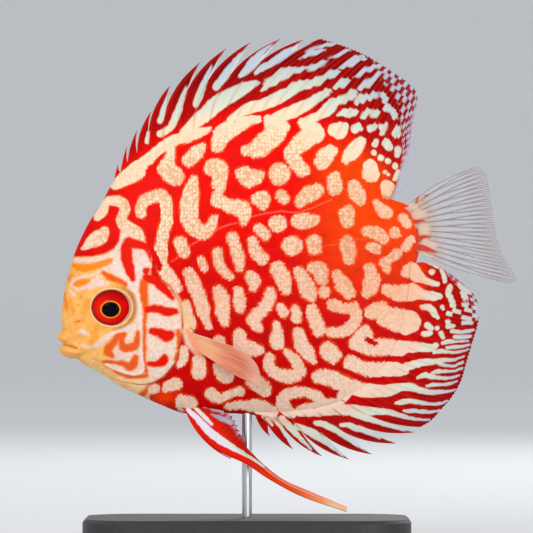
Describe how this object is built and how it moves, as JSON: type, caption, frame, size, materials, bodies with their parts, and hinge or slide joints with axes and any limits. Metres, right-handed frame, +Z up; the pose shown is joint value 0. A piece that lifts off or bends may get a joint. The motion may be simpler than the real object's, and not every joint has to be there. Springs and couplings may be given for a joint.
{
  "type": "discus fish on a display stand",
  "caption": "Life-size disc-shaped freshwater fish, fins spread and nose dipped, held on a plain flat base by one short rod.",
  "frame": {"origin": "middle of the display stand's flat underside, under the fish's centre of mass", "axes": "+Z up, -X towards the fish's snout, -Y towards its left flank"},
  "size_m": [0.1378, 0.062, 0.1519],
  "materials": {
    "skin": "wet scaled skin, red with cream wavy bands",
    "eye": "clear and wet, red iris with a black pupil",
    "fin": "satin web, red striped with pale lines",
    "clear_fin": "thin clear web with darker rays",
    "stand": "matte black",
    "rod": "satin steel"
  },
  "bodies": {
    "root": {"head": "skin", "trunk": "skin", "tail_stalk": "skin", "eye_left": "eye", "eye_right": "eye", "dorsal_fin": "fin", "anal_fin": "fin", "tail_fin": "clear_fin", "pectoral_fin_left": "clear_fin", "pectoral_fin_right": "clear_fin", "pelvic_fin_left": "fin", "pelvic_fin_right": "fin", "stand_base": "stand", "stand_rod": "rod"}
  },
  "joints": []
}
